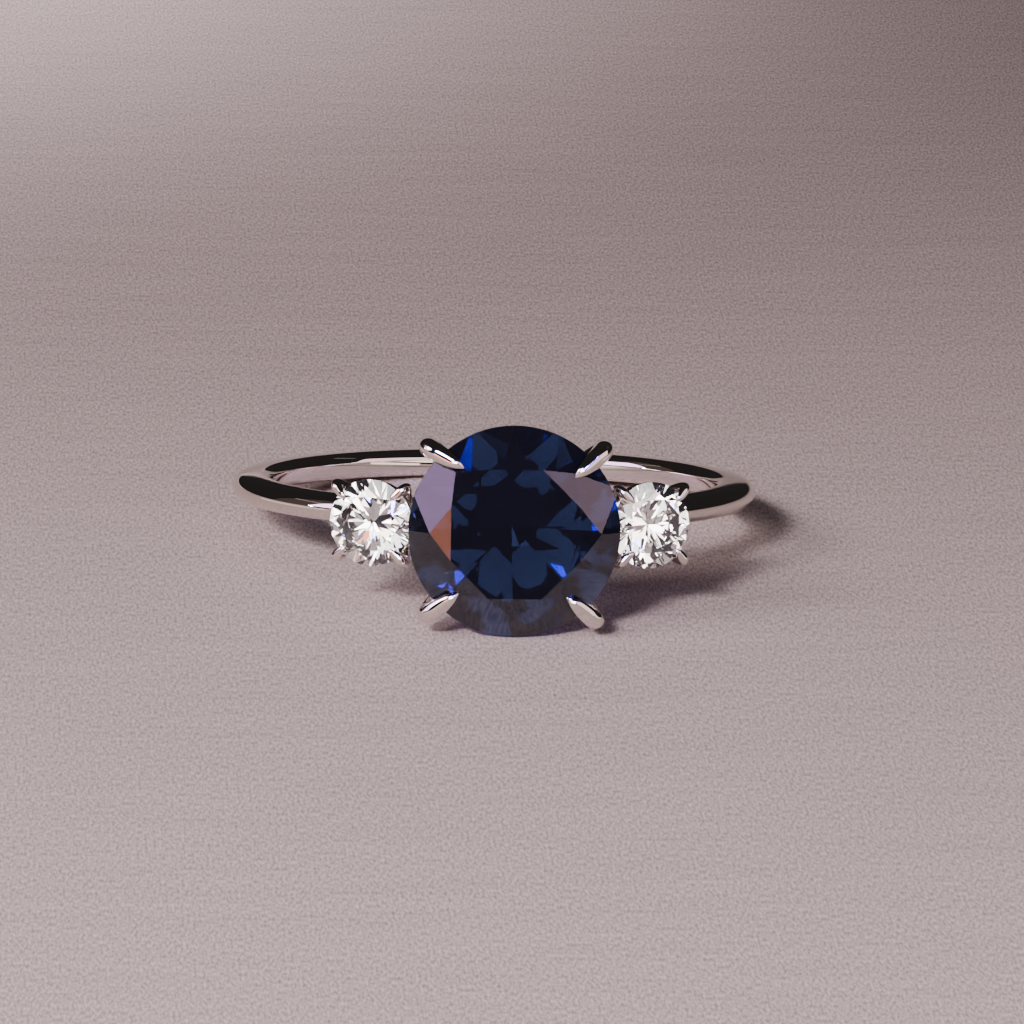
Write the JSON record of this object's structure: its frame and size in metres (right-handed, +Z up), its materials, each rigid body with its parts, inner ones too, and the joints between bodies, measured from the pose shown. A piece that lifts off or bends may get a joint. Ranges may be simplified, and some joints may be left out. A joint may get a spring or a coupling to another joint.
{
  "type": "three stone ring",
  "caption": "Finger ring with a slim polished band, a round blue centre stone in a claw basket and a smaller clear stone on each shoulder.",
  "frame": {"origin": "on the surface that the ring lies on, under the middle of the whole ring", "axes": "+Z up from that surface, the stones towards -Y, +X to the right as the stones are looked at"},
  "size_m": [0.0204, 0.0254, 0.0079],
  "materials": {
    "white_gold": "mirror polish",
    "sapphire": "polished facets",
    "diamond": "polished facets"
  },
  "bodies": {
    "root": {"ring_mount": "white_gold", "sapphire": "sapphire", "diamond_left": "diamond", "diamond_right": "diamond"}
  },
  "joints": []
}
